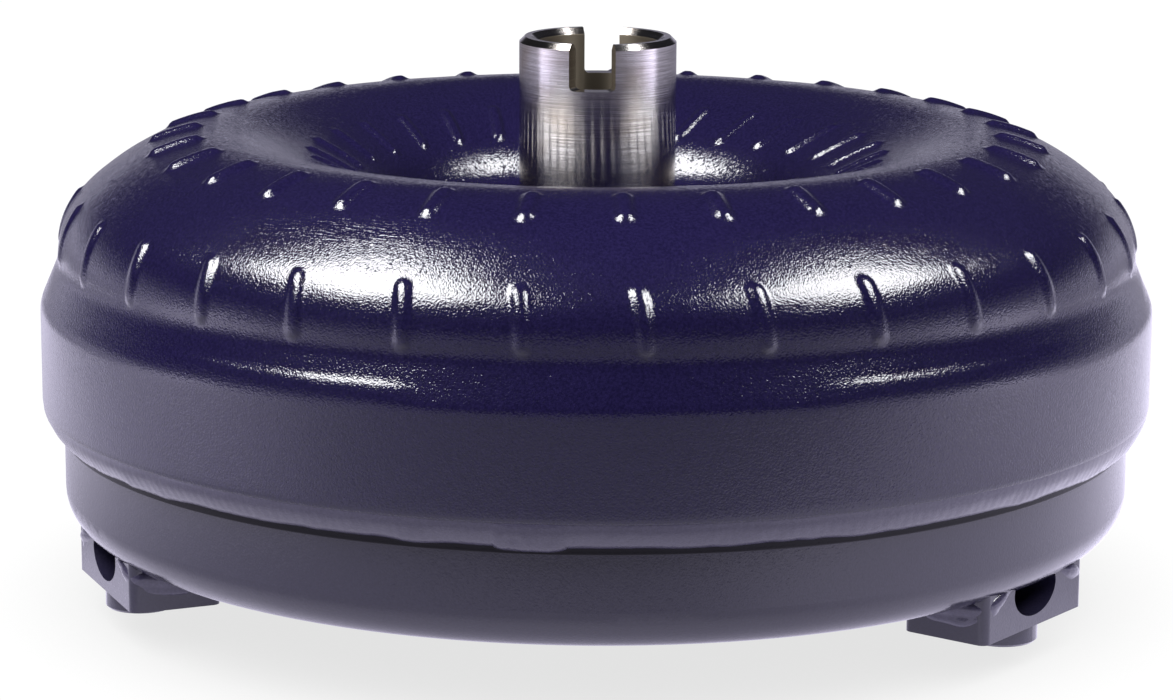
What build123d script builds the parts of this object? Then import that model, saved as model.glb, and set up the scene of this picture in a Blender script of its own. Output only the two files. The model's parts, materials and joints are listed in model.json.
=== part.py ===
"""Torque converter: welded housing with a slotted pump hub, and the impeller, turbine, stator,
one-way clutch and thrust bearings that it holds.  Millimetres, +Z up along the shaft axis
(towards the transmission).  The origin is on the axis, in the plane of the three lug faces that
bolt to the flexplate.  "Front" is the flexplate side (low z), "rear" the transmission side."""

import math
import os

from build123d import *

os.makedirs("parts", exist_ok=True)

# ------------------------------------------------------------------ driving dimensions
weld_gap = 0.02                      # between a weld bead, rivet or stator seat and its mate
# impeller shell
crest_r, crest_z = 114.2, 135.0      # highest ring of the shell
shell_t = 4.0
band_low_z = 54.5                    # rim band, above its chamfer
rim_chamfer_r, rim_low_z = 164.4, 50.2
rim_step_z, rim_taper_top_z = 86.5, 94.5   # taper inside the rim
# front cover
cover_r, cover_t = 162.4, 4.2
cover_bore_r = 30.0
cover_face_z = 16.0                  # flat that carries the lugs
cover_web_z = 21.0                   # web between the lug flat and the pilot
cover_corner_r, cover_corner_z = 150.4, 28.0   # ends of the corner arc
skirt_top_z = 78.8                   # upper edge of the cover skirt, inside the rim
weld_low_z = 43.2                    # toe of the closure weld on the cover
cover_in_z = cover_face_z + cover_t
web_in_z = cover_web_z + cover_t
# impeller hub
hub_r, hub_bore_r, hub_top_z = 23.8, 18.3, 162.7
hub_collar_r, hub_collar_z = 24.6, 112.0
hub_flange_r, hub_flange_t = 40.0, 4.0
slot_half_deg, slot_depth, slot_turn_deg = 17.0, 13.9, -94.1
slot_corner_r = 1.6
# lugs and pilot
bolt_circle_r = 146.05               # 11.5 in bolt circle
lug_angles = (-36.7, -156.7, 83.3)
lug_in, lug_out, lug_half, lug_z = 130.0, 157.2, 27.3, 5.5
boss_r, tap_r = 10.6, 4.25           # 3/8-24 UNF tapping size
pilot_r, pilot_low_z = 21.65, -6.5   # 1.705 in crankshaft pilot
pilot_flange_r, pilot_flange_z = 34.0, 17.0
# blading
n_impeller, n_turbine, n_stator = 31, 29, 17
mid_z = 82.0                         # plane between impeller and turbine
impeller_core_z, turbine_core_z = mid_z + 1.2, mid_z - 1.4
core_r, core_r_half, core_z_half = 111.0, 24.0, 24.6   # core ring centre and half axes
core_t = 1.2
blade_phase = 4.25 - 90.0            # first impeller blade, degrees about +Z
skin_clearance, core_clearance = 0.15, 0.1   # blade edges to shell and to core ring
# turbine
turbine_t = 2.0
turbine_hub_r, turbine_hub_bore_r = 34.0, 9.0
turbine_low_z, turbine_high_z = web_in_z + 5.0, 65.2
turbine_foot_r = 30.0                # turbine hub below its flange
turbine_flange_r, turbine_flange_t = 60.0, 4.0
n_rivets, rivet_circle_r, rivet_hole_r = 9, 50.0, 3.1
# one-way clutch
race_r, roller_r, n_rollers = 31.0, 4.0, 10
run_gap = 0.05
roller_circle_r = race_r + roller_r + run_gap
outer_race_r = 46.0
ramp_deg = 5
cap_t = 3.0
cavity_low_z, cavity_high_z = turbine_high_z + 8.0, turbine_high_z + 25.0   # roller cavity
cavity_h = cavity_high_z - cavity_low_z
cap_low_z, cap_high_z = cavity_low_z - cap_t, cavity_high_z + cap_t
# stator
stator_low_z, stator_high_z = 67.0, 96.4
stator_hub_r, vane_tip_r = 62.0, 85.6
# thrust bearings
n_needles, needle_r = 22, 1.44


# ------------------------------------------------------------------ outlines
# A path is a list of segments.  A segment of two points is a line, of three an arc (start,
# middle, end), and of more a spline.  Points of revolved outlines are (radius, z).
def draw(path):
    """Draw a path into the open BuildLine."""
    for points in path:
        if len(points) == 2:
            Line(*points)
        elif len(points) == 3:
            ThreePointArc(*points)
        else:
            Spline(*points)


def straight(*points):
    return list(zip(points, points[1:]))


def reverse(path):
    return [points[::-1] for points in reversed(path)]


def end_of(path):
    return path[-1][-1]


def strip(side, other_side):
    """Closed path along one curve and back along another that starts at the same end."""
    return [
        side,
        (side[-1], other_side[-1]),
        other_side[::-1],
        (other_side[0], side[0]),
    ]


def polar(r, deg):
    return (r * math.cos(math.radians(deg)), r * math.sin(math.radians(deg)))


def chain(start, heading_deg, steps):
    """Tangent arcs and lines.  Each step is (radius, turn in degrees) or ("L", length)."""
    x, y = start
    heading = math.radians(heading_deg)
    path = []
    for size, amount in steps:
        if size == "L":
            end = (x + amount * math.cos(heading), y + amount * math.sin(heading))
            path.append(((x, y), end))
        else:
            turn = math.radians(amount)
            bend = size if turn > 0 else -size
            centre_x = x - bend * math.sin(heading)
            centre_y = y + bend * math.cos(heading)
            middle, end = (
                (centre_x + bend * math.sin(angle), centre_y - bend * math.cos(angle))
                for angle in (heading + turn / 2, heading + turn)
            )
            path.append(((x, y), middle, end))
            heading += turn
        x, y = end
    return path


def shell_out(depth):
    """Impeller shell surface from the crest outwards, depth inside the outer skin."""
    steps = [(44 - depth, -16), (72 - depth, -26), (26 - depth, -46)]
    return chain((crest_r, crest_z - depth), 0, steps)


def shell_in(depth):
    """Impeller shell surface from the crest inwards to the flat bowl floor."""
    steps = [(44 - depth, 14), (110 - depth, 18), (26 - depth, 23), (16 + depth, -55)]
    return chain((crest_r, crest_z - depth), 180, steps)


turbine_bottom_r, turbine_bottom_z = 112.0, 34.5   # lowest ring of the flow face


def turbine_out(depth):
    """Turbine shell surface from its lowest ring outwards, depth outside the flow face."""
    steps = [(40 + depth, 16), (62 + depth, 26), (22 + depth, 48)]
    return chain((turbine_bottom_r, turbine_bottom_z - depth), 0, steps)


def turbine_in(depth):
    """Turbine shell surface from its lowest ring inwards to the flat by the hub."""
    steps = [(40 + depth, -14), (90 + depth, -18), (22 + depth, -18), (6 - depth, 50)]
    return chain((turbine_bottom_r, turbine_bottom_z - depth), 180, steps)


floor_out_z = end_of(shell_in(0))[1]          # bowl floor, outer skin
floor_in_z = end_of(shell_in(shell_t))[1]     # bowl floor, inner skin
turbine_flange_z = end_of(turbine_in(turbine_t))[1]


def core_curve(sign, centre_z, depth):
    """Arch of the core ring, depth inside its flow face; sign +1 opens down, -1 up."""
    r_half, z_half = core_r_half - depth, core_z_half - depth
    points = []
    for k in range(13):
        angle = math.radians(k * 12.5)
        points.append(
            (core_r + r_half * math.cos(angle), centre_z + sign * z_half * math.sin(angle))
        )
    return points


# plan shape of the blades: (radius, degrees from the blade's own station)
impeller_camber = [
    (60, 7.4), (72, 4.2), (80, 2.4), (88, 1.1), (100, -0.2), (112, -0.8),
    (124, -1.0), (136, -0.95), (148, -0.65), (156, -0.35), (163.5, 0.45),
]
turbine_camber = [
    (60, -13.0), (75, -6.5), (90, -2.0), (105, 0.6),
    (120, 1.2), (135, 0.2), (150, -2.8), (157, -4.9),
]


def camber_deg(camber, r):
    """Blade angle at radius r, between the rows of a camber table."""
    for (r0, deg0), (r1, deg1) in zip(camber, camber[1:]):
        if r <= r1:
            return deg0 + (deg1 - deg0) * (r - r0) / (r1 - r0)
    return camber[-1][1]


def blade_plan(camber, thickness, r_low, r_high, station_deg):
    """Closed plan outline of one curved blade."""
    radii = [r_low + (r_high - r_low) * k / 9 for k in range(10)]
    left, right = (
        [
            polar(r, station_deg + camber_deg(camber, r) + side * math.degrees(thickness / 2 / r))
            for r in radii
        ]
        for side in (1, -1)
    )
    return strip(left, right)


# ------------------------------------------------------------------ shared solids
def turned(path):
    """Solid of revolution of a closed (radius, z) path."""
    with BuildPart() as solid:
        with BuildSketch(Plane.XZ):
            with BuildLine():
                draw(path)
            make_face()
        revolve(axis=Axis.Z)
    return solid.part


def polar_copies(part, count):
    with BuildPart() as copies:
        with PolarLocations(0, count):
            add(part)
    return copies.part


def spline_cutter(n_teeth, root_r, tip_r, low_z, high_z):
    """Solid whose removal leaves straight-sided internal teeth."""
    gap_width = math.pi * (tip_r + root_r) / n_teeth / 2 * 0.98
    with BuildPart() as cutter:
        with BuildSketch(Plane.XY.offset(low_z)):
            Circle(tip_r)
            with PolarLocations(0, n_teeth):
                with Locations(((tip_r + root_r) / 2, 0)):
                    Rectangle(root_r - tip_r + 0.6, gap_width)
        extrude(amount=high_z - low_z)
    return cutter.part


# ------------------------------------------------------------------ front cover
def cover_skin(start_r, top_z):
    """Outside of the cover, from start_r on the web to top_z on the skirt."""
    return [
        ((start_r, cover_web_z), (100.0, cover_web_z)),
        ((100.0, cover_web_z), (103.4, 20.29), (106.0, 18.5)),
        ((106.0, 18.5), (108.6, 16.71), (112.0, cover_face_z)),
        ((112.0, cover_face_z), (cover_corner_r, cover_face_z)),
        ((cover_corner_r, cover_face_z), (158.885, 19.515), (cover_r, cover_corner_z)),
        ((cover_r, cover_corner_z), (cover_r, top_z)),
    ]


def make_front_cover():
    skirt_in_r = cover_r - cover_t
    inside = [
        ((cover_r, skirt_top_z), (skirt_in_r, skirt_top_z)),
        ((skirt_in_r, skirt_top_z), (skirt_in_r, cover_corner_z)),
        ((skirt_in_r, cover_corner_z), (155.915, 22.485), (cover_corner_r, cover_in_z)),
        ((cover_corner_r, cover_in_z), (113.4, cover_in_z)),
        ((113.4, cover_in_z), (110.3, 20.85), (108.1, 22.4)),
        ((108.1, 22.4), (104.9, 24.5), (101.2, web_in_z)),
        ((101.2, web_in_z), (cover_bore_r, web_in_z)),
        ((cover_bore_r, web_in_z), (cover_bore_r, cover_web_z)),
    ]
    return turned(cover_skin(cover_bore_r, skirt_top_z) + inside)


def make_cover_outside():
    """The cover's outside, filled, used to fit the lugs to it."""
    top_z = 60.0
    closing = straight((cover_r, top_z), (0, top_z), (0, cover_web_z))
    return turned(cover_skin(0, top_z) + closing)


# ------------------------------------------------------------------ crankshaft pilot
def make_crank_pilot():
    spigot_r = cover_bore_r - 0.05       # fits the bore of the cover
    recess_r, recess_depth = 5.0, 1.2    # shallow recess in the low face
    pocket_r = 13.5                      # hollow open to the inside of the housing
    edge_chamfer = 1.5
    return turned(straight(
        (0, pilot_low_z + recess_depth),
        (recess_r, pilot_low_z + recess_depth),
        (recess_r + recess_depth, pilot_low_z),
        (pilot_r - edge_chamfer, pilot_low_z),
        (pilot_r, pilot_low_z + edge_chamfer),
        (pilot_r, pilot_flange_z),
        (pilot_flange_r, pilot_flange_z),
        (pilot_flange_r, cover_web_z),
        (spigot_r, cover_web_z),
        (spigot_r, web_in_z),
        (pocket_r, web_in_z),
        (pocket_r, 4.0),
        (0, 1.0),
        (0, pilot_low_z + recess_depth),
    ))


def make_pilot_weld():
    root_r, root_z = pilot_flange_r + weld_gap, cover_web_z - weld_gap
    low_toe, outer_toe = (root_r, 17.8), (37.6, root_z)
    return turned([
        (low_toe, (root_r, root_z)),
        ((root_r, root_z), outer_toe),
        (outer_toe, (36.6, 18.7), low_toe),
    ])


# ------------------------------------------------------------------ mounting lugs
def make_lug(cover_outside):
    """One lug on the +X side, with its round boss and tapped hole."""
    with BuildPart() as lug:
        with BuildSketch(Plane.XY.offset(lug_z)):
            with Locations(((lug_in + lug_out) / 2, 0)):
                RectangleRounded(lug_out - lug_in, 2 * lug_half, 2.6)
        extrude(amount=15.0)
        with BuildSketch(Plane.XY):
            with Locations((bolt_circle_r, 0)):
                Circle(boss_r)
        extrude(amount=lug_z)
        # arch that clears the tip of the flexplate bolt
        with BuildSketch(Plane.YZ.offset(137.0)):
            with Locations((0, cover_face_z + 0.6)):
                Ellipse(11.5, 7.8)
        extrude(amount=30.0, mode=Mode.SUBTRACT)
        with BuildSketch(Plane.XY.offset(-1)):
            with Locations((bolt_circle_r, 0)):
                Circle(tap_r)
        extrude(amount=30.0, mode=Mode.SUBTRACT)
        boss_edges = (
            lug.edges()
            .filter_by(GeomType.CIRCLE)
            .filter_by(lambda e: abs(e.radius - boss_r) < 1e-6)
            .sort_by(Axis.Z)
        )
        chamfer(boss_edges[0], 0.7)
    return lug.part - cover_outside


def make_lug_bead(cover_outside, lug):
    """Beads at both ends of a lug, run up on to its outer face."""
    outer_bead_y = 11.0                  # where the bead on the outer face starts
    with BuildPart() as bead:
        for side in (1, -1):
            with BuildSketch(Plane.YZ.offset(134.0)):
                with Locations((side * lug_half, cover_face_z)):
                    Circle(4.2)
            extrude(amount=24.0)
            with BuildSketch(Plane.XZ.offset(-side * outer_bead_y)):
                with Locations((lug_out, 18.2)):
                    Circle(3.6)
            extrude(amount=-side * (lug_half - outer_bead_y + 1.5))
    return bead.part - cover_outside - lug


def at_lug_angles(part):
    with BuildPart() as copies:
        for angle in lug_angles:
            add(part.rotate(Axis.Z, angle))
    return copies.part


# ------------------------------------------------------------------ impeller shell
def make_rib(profile, lift, r_low, r_high, width, low_z):
    """Raised rib over one blade: a strip in plan, cut off where it stands lift above the skin."""
    skin = profile(-lift)
    root = profile(shell_t / 2)
    start, end = (
        polar(r, blade_phase + camber_deg(impeller_camber, r)) for r in (r_low, r_high)
    )
    lean = math.degrees(math.atan2(end[1] - start[1], end[0] - start[0]))
    centre = ((start[0] + end[0]) / 2, (start[1] + end[1]) / 2, 0)
    with BuildPart() as rib:
        with BuildSketch(Plane.XY.offset(low_z)):
            with Locations(Location(centre, (0, 0, lean))):
                SlotCenterToCenter(math.dist(start, end), width)
        extrude(amount=140.0 - low_z)
        with BuildSketch(Plane.XZ):
            with BuildLine():
                draw(skin)
                Line(end_of(skin), end_of(root))
                draw(reverse(root))
                Line(root[0][0], skin[0][0])
            make_face()
        revolve(axis=Axis.Z, mode=Mode.INTERSECT)
    return rib.part


# surface, lift, inner and outer end radius, width, z where the strip starts
rib_rows = [
    (shell_out, 1.4, 157.2, 164.5, 5.0, crest_z - 37.0),   # outer shoulder
    (shell_out, 1.6, 121.0, 134.6, 5.6, crest_z - 25.0),   # crest
    (shell_in, 1.4, 73.6, 87.0, 5.0, crest_z - 35.0),      # bowl
]


def make_impeller_shell():
    outer_skin, outer_face = shell_out(0), shell_out(shell_t)
    inner_skin, inner_face = shell_in(0), shell_in(shell_t)
    flare = chain(end_of(outer_skin), -88, [(12, 21), ("L", 9.75), (10, -23)])
    flare_end = end_of(flare)
    face_end = end_of(outer_face)
    rim_in_r = cover_r + 0.1
    bore_r = hub_collar_r + weld_gap
    rim = straight(
        flare_end,
        (flare_end[0], band_low_z),
        (rim_chamfer_r, rim_low_z),
        (rim_in_r, rim_low_z),
        (rim_in_r, rim_step_z),
        (face_end[0], rim_taper_top_z),
        face_end,
    )
    bore = straight(
        end_of(inner_face), (bore_r, floor_in_z), (bore_r, floor_out_z), end_of(inner_skin)
    )
    shell = turned(
        outer_skin + flare + rim + reverse(outer_face) + inner_face + bore + reverse(inner_skin)
    )
    row_ribs = [make_rib(*row) for row in rib_rows]
    ribs = [
        rib.rotate(Axis.Z, 360.0 / n_impeller * k) for k in range(n_impeller) for rib in row_ribs
    ]
    return shell.fuse(*ribs)


def make_closure_weld():
    root_r, root_z = cover_r + weld_gap, rim_low_z - weld_gap
    return turned([
        ((root_r, weld_low_z), (root_r, root_z)),
        ((root_r, root_z), (rim_chamfer_r, root_z)),
        ((rim_chamfer_r, root_z), (164.35, 46.4), (root_r, weld_low_z)),
    ])


# ------------------------------------------------------------------ impeller hub
def make_impeller_hub():
    low_z = floor_in_z - hub_flange_t
    outer_chamfer, bore_chamfer = 1.7, 2.0
    slot_floor_z = hub_top_z - slot_depth
    cut_r = 40.0                         # reach of the slot wedges, beyond the hub
    with BuildPart() as hub:
        with BuildSketch(Plane.XZ):
            with BuildLine():
                Polyline(
                    (hub_bore_r, low_z),
                    (hub_flange_r, low_z),
                    (hub_flange_r, floor_in_z),
                    (hub_collar_r, floor_in_z),
                    (hub_collar_r, hub_collar_z - 0.8),
                    (hub_r, hub_collar_z),
                    (hub_r, hub_top_z - outer_chamfer),
                    (hub_r - outer_chamfer, hub_top_z),
                    (hub_bore_r + bore_chamfer, hub_top_z),
                    (hub_bore_r, hub_top_z - bore_chamfer),
                    (hub_bore_r, low_z),
                )
            make_face()
        revolve(axis=Axis.Z)
        # two drive slots with radial walls and rounded floor corners
        with BuildSketch(Plane.XY.offset(slot_floor_z)):
            for turn in (slot_turn_deg, slot_turn_deg + 180):
                wall_a = polar(cut_r, turn - slot_half_deg)
                wall_b = polar(cut_r, turn + slot_half_deg)
                with BuildLine():
                    draw(straight((0, 0), wall_a, wall_b, (0, 0)))
                make_face()
        extrude(amount=slot_depth + 5, mode=Mode.SUBTRACT)
        fillet(
            hub.edges()
            .filter_by(GeomType.LINE)
            .filter_by_position(Axis.Z, slot_floor_z - 0.01, slot_floor_z + 0.01),
            slot_corner_r,
        )
    return hub.part


def make_hub_weld():
    root_r, root_z = hub_collar_r + weld_gap, floor_out_z + weld_gap
    top_toe = (root_r, floor_out_z + 4.2)
    outer_toe = (hub_collar_r + 4.8, root_z)
    return turned([
        (top_toe, (root_r, root_z)),
        ((root_r, root_z), outer_toe),
        (outer_toe, (hub_collar_r + 2.75, floor_out_z + 2.35), top_toe),
    ])


# ------------------------------------------------------------------ core rings and impeller blades
def make_core_ring(sign, centre_z):
    return turned(strip(core_curve(sign, centre_z, 0.0), core_curve(sign, centre_z, core_t)))


def make_impeller_blades():
    outward = shell_out(shell_t + skin_clearance)
    inward = shell_in(shell_t + skin_clearance)[:3]
    core = core_curve(1, impeller_core_z, -core_clearance)
    with BuildPart() as blade:
        with BuildSketch(Plane.XY.offset(impeller_core_z)):
            with BuildLine():
                draw(blade_plan(impeller_camber, 1.0, 62.0, 163.0, blade_phase))
            make_face()
        extrude(amount=60.0)
        # trim to the passage between shell and core ring
        with BuildSketch(Plane.XZ):
            with BuildLine():
                draw(outward)
                draw(straight(end_of(outward), (157.2, 92.0), (156.5, impeller_core_z), core[0]))
                Spline(*core)
                draw(straight(core[-1], (64.5, 101.0), end_of(inward)))
                draw(reverse(inward))
            make_face()
        revolve(axis=Axis.Z, mode=Mode.INTERSECT)
    return polar_copies(blade.part, n_impeller)


# ------------------------------------------------------------------ turbine
def make_turbine_shell():
    outward, outward_face = turbine_out(turbine_t), turbine_out(0)
    inward, inward_face = turbine_in(turbine_t), turbine_in(0)
    rim, rim_face = end_of(outward), end_of(outward_face)
    seat, seat_face = end_of(inward), end_of(inward_face)
    bore_r = turbine_hub_r + 0.1
    rim_path = straight(
        rim, (rim[0], turbine_core_z), (rim_face[0], turbine_core_z), rim_face
    )
    bore_path = straight(seat_face, (bore_r, seat_face[1]), (bore_r, seat[1]), seat)
    with BuildPart() as shell:
        with BuildSketch(Plane.XZ):
            with BuildLine():
                draw(outward + rim_path + reverse(outward_face))
                draw(inward_face + bore_path + reverse(inward))
            make_face()
        revolve(axis=Axis.Z)
        with BuildSketch(Plane.XY.offset(turbine_flange_z - 1)):
            with PolarLocations(rivet_circle_r, n_rivets):
                Circle(rivet_hole_r)
        extrude(amount=4, mode=Mode.SUBTRACT)
    return shell.part


def make_turbine_blades():
    low_z = 30.0                         # below the turbine shell, trimmed afterwards
    outward = turbine_out(-skin_clearance)
    inward = turbine_in(-skin_clearance)[:3]
    core = core_curve(-1, turbine_core_z, -core_clearance)
    rim = end_of(outward)
    with BuildPart() as blade:
        with BuildSketch(Plane.XY.offset(low_z)):
            with BuildLine():
                draw(blade_plan(turbine_camber, 0.9, 62.0, 156.5, 0))
            make_face()
        extrude(amount=turbine_core_z - low_z)
        # trim to the passage between shell and core ring
        with BuildSketch(Plane.XZ):
            with BuildLine():
                draw(outward)
                draw(straight(rim, (rim[0], turbine_core_z), core[0]))
                Spline(*core)
                draw(straight(core[-1], (68.0, 63.5), end_of(inward)))
                draw(reverse(inward))
            make_face()
        revolve(axis=Axis.Z, mode=Mode.INTERSECT)
    return polar_copies(blade.part, n_turbine)


def make_turbine_hub():
    flange_low_z = turbine_flange_z - turbine_flange_t
    cutter = spline_cutter(
        n_teeth=30, root_r=12.7, tip_r=11.6, low_z=turbine_low_z - 1, high_z=turbine_high_z + 1
    )
    with BuildPart() as hub:
        with BuildSketch(Plane.XZ):
            with BuildLine():
                Polyline(
                    (turbine_hub_bore_r, turbine_low_z),
                    (turbine_foot_r, turbine_low_z),
                    (turbine_foot_r, flange_low_z),
                    (turbine_flange_r, flange_low_z),
                    (turbine_flange_r, turbine_flange_z),
                    (turbine_hub_r, turbine_flange_z),
                    (turbine_hub_r, turbine_high_z),
                    (turbine_hub_bore_r, turbine_high_z),
                    (turbine_hub_bore_r, turbine_low_z),
                )
            make_face()
        revolve(axis=Axis.Z)
        add(cutter, mode=Mode.SUBTRACT)
        with BuildSketch(Plane.XY.offset(turbine_flange_z - 5)):
            with PolarLocations(rivet_circle_r, n_rivets):
                Circle(rivet_hole_r)
        extrude(amount=6, mode=Mode.SUBTRACT)
    return hub.part


def make_turbine_rivets():
    head_h = 2.0
    flange_low_z = turbine_flange_z - turbine_flange_t
    with BuildPart() as rivets:
        # lower heads
        with BuildSketch(Plane.XY.offset(flange_low_z - weld_gap - head_h)):
            with PolarLocations(rivet_circle_r, n_rivets):
                Circle(4.8)
        extrude(amount=head_h)
        # shanks
        with BuildSketch(Plane.XY.offset(flange_low_z - 0.5)):
            with PolarLocations(rivet_circle_r, n_rivets):
                Circle(rivet_hole_r - 0.05)
        extrude(amount=8.0)
        # tapered upper heads
        with BuildSketch(Plane.XY.offset(turbine_flange_z + turbine_t + weld_gap)):
            with PolarLocations(rivet_circle_r, n_rivets):
                Circle(5.0)
        extrude(amount=2.2, taper=20)
    return rivets.part


# ------------------------------------------------------------------ stator
# cambered aerofoil, thick nose towards the turbine: (y, z) up one side and down the other
vane_rising_side = [(-7.6, 70.6), (-7.2, 75.0), (-5.0, 80.8), (-0.6, 87.2), (6.0, 94.2)]
vane_falling_side = [
    (6.0, 94.2), (1.6, 86.4), (-1.2, 80.4), (-2.0, 75.0),
    (-3.6, 71.2), (-5.6, 69.7), (-7.6, 70.6),
]


def make_stator_vane():
    with BuildPart() as vane:
        with BuildSketch(Plane.YZ.offset(58.0)):
            with BuildLine():
                Spline(*vane_rising_side)
                Spline(*vane_falling_side)
            make_face()
        extrude(amount=31.0)
        with BuildSketch(Plane.XY.offset(60)):
            Circle(vane_tip_r)
            Circle(stator_hub_r - 1.0, mode=Mode.SUBTRACT)
        extrude(amount=50.0, mode=Mode.INTERSECT)
    return vane.part


def make_stator_wheel():
    seat_r = outer_race_r + weld_gap
    lip_r = 41.5                         # front lip
    groove_r = 48.2                      # snap ring groove
    groove_low_z, groove_high_z = cap_high_z + 0.05, cap_high_z + 1.75
    shoulder_r, shoulder_h = 58.5, 3.0
    ring_low_z, ring_high_z = 69.9, 94.0  # ring round the vane tips
    vane = make_stator_vane()
    with BuildPart() as wheel:
        with BuildSketch(Plane.XZ):
            with BuildLine():
                Polyline(
                    (seat_r, cap_low_z),
                    (lip_r, cap_low_z),
                    (lip_r, stator_low_z + 0.6),
                    (lip_r + 1.5, stator_low_z),
                    (shoulder_r, stator_low_z),
                    (stator_hub_r, stator_low_z + shoulder_h),
                    (stator_hub_r, stator_high_z - shoulder_h),
                    (shoulder_r, stator_high_z),
                    (seat_r, stator_high_z),
                    (seat_r, groove_high_z),
                    (groove_r, groove_high_z),
                    (groove_r, groove_low_z),
                    (seat_r, groove_low_z),
                    (seat_r, cap_low_z),
                )
            make_face()
        revolve(axis=Axis.Z)
        with PolarLocations(0, n_stator):
            add(vane)
        with BuildSketch(Plane.XY.offset(ring_low_z)):
            Circle(87.2)
            Circle(vane_tip_r - 1.0, mode=Mode.SUBTRACT)
        extrude(amount=ring_high_z - ring_low_z)
    return wheel.part


# ------------------------------------------------------------------ one-way clutch
def make_clutch_outer_race():
    """Ring with one ramped pocket for each roller and its spring."""
    slope = math.tan(math.radians(ramp_deg))
    ramp_x = roller_circle_r + (roller_r + run_gap) / math.cos(math.radians(ramp_deg))
    low_y, high_y = -4.9, 12.8           # ends of a pocket
    with BuildPart() as pocket:
        with BuildSketch(Plane.XY.offset(cavity_low_z)):
            with BuildLine():
                Polyline(
                    (31.5, low_y),
                    (ramp_x + low_y * slope, low_y),
                    (ramp_x + high_y * slope, high_y),
                    (29.5, high_y),
                    (31.5, low_y),
                )
            make_face()
        extrude(amount=cavity_h)
    with BuildPart() as race:
        with BuildSketch(Plane.XY.offset(cavity_low_z)):
            Circle(outer_race_r)
            Circle(33.0, mode=Mode.SUBTRACT)
        extrude(amount=cavity_h)
        with PolarLocations(0, n_rollers):
            add(pocket.part, mode=Mode.SUBTRACT)
    return race.part


def make_clutch_inner_race():
    end_gap = 0.1
    cutter = spline_cutter(
        n_teeth=33, root_r=17.6, tip_r=16.4, low_z=cavity_low_z - 1, high_z=cavity_high_z + 1
    )
    with BuildPart() as race:
        with BuildSketch(Plane.XY.offset(cavity_low_z + end_gap)):
            Circle(race_r)
        extrude(amount=cavity_h - 2 * end_gap)
        chamfer(race.edges().filter_by(GeomType.CIRCLE), 0.6)
        add(cutter, mode=Mode.SUBTRACT)
    return race.part


def make_roller(angle):
    end_gap = 1.0
    centre = (*polar(roller_circle_r, angle), cavity_low_z + end_gap)
    with BuildPart() as roller:
        with BuildSketch(Plane(origin=centre)):
            Circle(roller_r)
        extrude(amount=cavity_h - 2 * end_gap)
        chamfer(roller.edges(), 0.35)
    return roller.part


def make_clutch_springs():
    """Zigzag spring on the counter-clockwise side of each roller, seen from +Z."""
    end_gap = 2.5
    half_t = 0.5
    folds = [((34.6, 38.0)[k % 2], 4.6 + 1.4 * k) for k in range(6)]
    outer_edge = [(x + half_t, y) for x, y in folds]
    inner_edge = [(x - half_t, y) for x, y in folds]
    with BuildPart() as spring:
        with BuildSketch(Plane.XY.offset(cavity_low_z + end_gap)):
            with BuildLine():
                Polyline(*outer_edge, *inner_edge[::-1], outer_edge[0])
            make_face()
        extrude(amount=cavity_h - 2 * end_gap)
    return polar_copies(spring.part, n_rollers)


def make_clutch_cap(low_z):
    """Clutch end cap: flat ring with six small through holes."""
    with BuildPart() as cap:
        with BuildSketch(Plane.XY.offset(low_z)):
            Circle(outer_race_r)
            Circle(20.5, mode=Mode.SUBTRACT)
        extrude(amount=cap_t)
        with BuildSketch(Plane.XY.offset(low_z)):
            with PolarLocations(41.2, 6):
                Circle(1.6)
        extrude(amount=cap_t, mode=Mode.SUBTRACT)
    return cap.part


def make_snap_ring():
    """Split ring, open on the +X side."""
    with BuildPart() as snap_ring:
        with BuildSketch(Plane.XY.offset(cap_high_z + 0.1)):
            Circle(48.1)
            Circle(43.4, mode=Mode.SUBTRACT)
            with Locations((45.8, 0)):
                Rectangle(8.0, 9.0, mode=Mode.SUBTRACT)
        extrude(amount=1.55)
    return snap_ring.part


# ------------------------------------------------------------------ thrust bearings
def make_bearing_race(low_z, inner_r, outer_r):
    with BuildPart() as race:
        with BuildSketch(Plane.XY.offset(low_z)):
            Circle(outer_r)
            Circle(inner_r, mode=Mode.SUBTRACT)
        extrude(amount=0.97)
    return race.part


def make_bearing_cage(low_z, inner_r, outer_r, needle_in_r, needle_out_r):
    with BuildPart() as cage:
        with BuildSketch(Plane.XY.offset(low_z + 1.6)):
            Circle(outer_r - 0.8)
            Circle(inner_r + 0.8, mode=Mode.SUBTRACT)
            with PolarLocations((needle_in_r + needle_out_r) / 2, n_needles):
                Rectangle(
                    needle_out_r - needle_in_r + 0.2, 2 * needle_r + 0.16, mode=Mode.SUBTRACT
                )
        extrude(amount=1.8)
    return cage.part


def make_needles(low_z, needle_in_r, needle_out_r):
    with BuildPart() as needle:
        with BuildSketch(Plane.YZ.offset(needle_in_r)):
            with Locations((0, low_z + 2.5)):
                Circle(needle_r)
        extrude(amount=needle_out_r - needle_in_r)
    return polar_copies(needle.part, n_needles)


# name, what the lower and upper race rest on, low z, inner and outer radius; each is 5 mm high
bearings = [
    ("front", "cover", "turbine", web_in_z, 16.5, 29.5),
    ("mid", "turbine", "stator", turbine_high_z, 21.0, 33.5),
    ("rear", "stator", "impeller", cap_high_z, 22.0, 37.0),
]

# ------------------------------------------------------------------ export, one file per piece
cover_outside = make_cover_outside()
lug = make_lug(cover_outside)

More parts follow.
